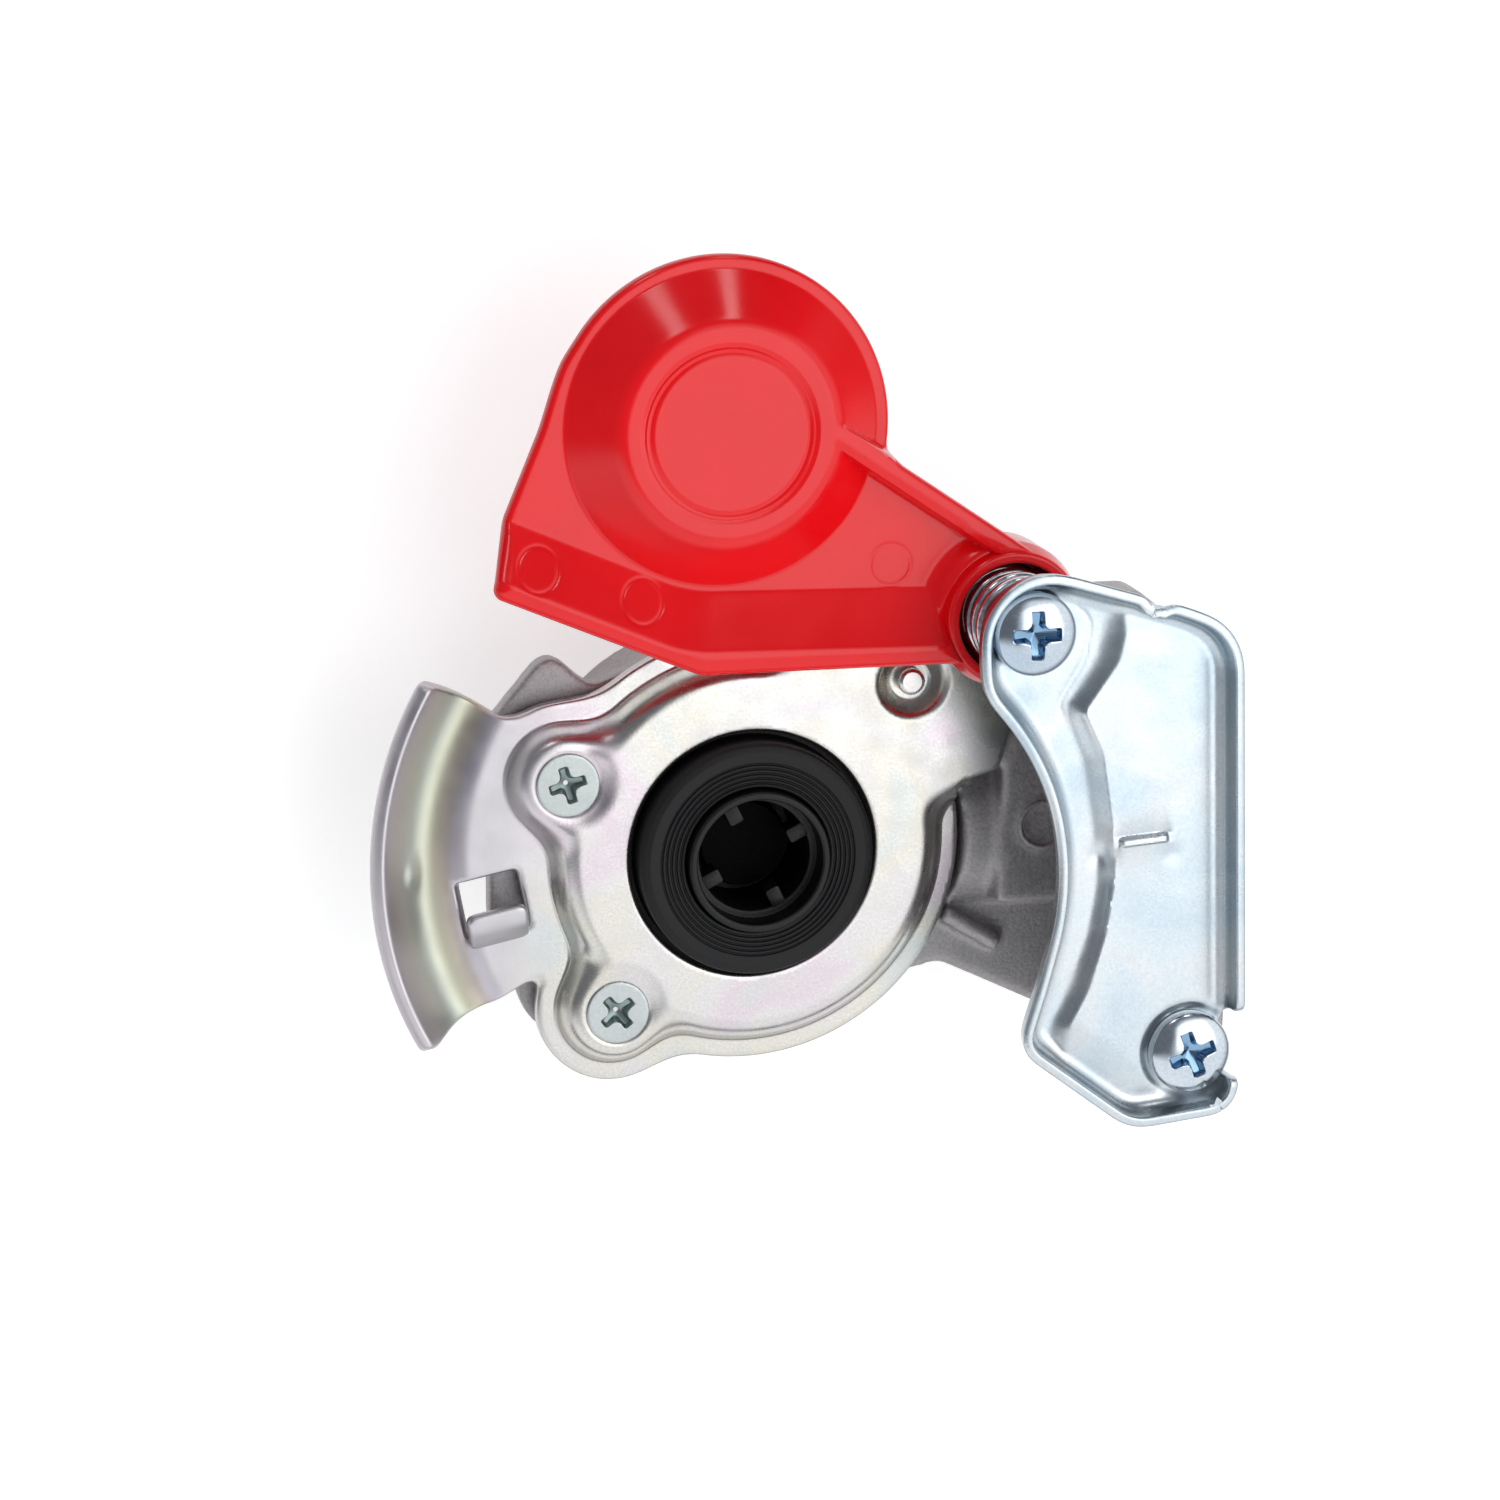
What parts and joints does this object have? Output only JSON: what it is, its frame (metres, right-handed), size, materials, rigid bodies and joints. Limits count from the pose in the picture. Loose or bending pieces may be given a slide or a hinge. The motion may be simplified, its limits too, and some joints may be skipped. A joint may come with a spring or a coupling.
{
  "type": "palm coupling head",
  "caption": "Palm-type air brake coupling head with a cast body, a pressed claw plate, a guide bracket, a rubber face seal, a sprung valve sleeve and a swivelling dust flap.",
  "frame": {"origin": "on the seal axis, at the flat face of the coupling plate", "axes": "+Z out of the coupling face along the seal axis, +X towards the air port and the guide bracket"},
  "size_m": [0.126, 0.1255, 0.0562],
  "materials": {
    "cast_aluminium": "as-cast aluminium, fine grain",
    "plate_zinc": "zinc-plated pressed steel with a faint yellow passivation",
    "bracket_zinc": "zinc-plated pressed steel with a blue passivation",
    "screw_zinc": "zinc-plated steel",
    "pin_steel": "bright steel",
    "spring_steel": "zinc-plated spring wire",
    "seal_rubber": "black moulded rubber",
    "black_nylon": "black moulded nylon",
    "red_plastic": "red moulded plastic, glossy"
  },
  "bodies": {
    "head": {"body_casting": "cast_aluminium", "coupling_plate": "plate_zinc", "plate_screws": "screw_zinc", "locating_pin": "pin_steel", "seal_ring": "seal_rubber", "valve_spring": "spring_steel", "valve_stem": "black_nylon", "stem_seal": "seal_rubber", "guide_bracket": "bracket_zinc", "bracket_screw": "screw_zinc", "hinge_screw": "screw_zinc", "hinge_sleeve": "pin_steel", "flap_spring": "spring_steel"},
    "flap": {"dust_flap": "red_plastic"},
    "valve": {"valve_sleeve": "black_nylon", "valve_o_ring": "seal_rubber"}
  },
  "joints": [
    {"name": "flap_swivel", "type": "hinge", "parent": "head", "child": "flap", "pos_m": [0.0346, 0.0366, 0.008], "axis": [0, 0, 1], "range_deg": [0, 79.3]},
    {"name": "valve_slide", "type": "slide", "parent": "head", "child": "valve", "axis": [0, 0, -1], "range_m": [0, 0.003], "stiffness_N_per_m": 4000, "springref_m": -0.004, "deforming": ["valve_spring"]}
  ]
}
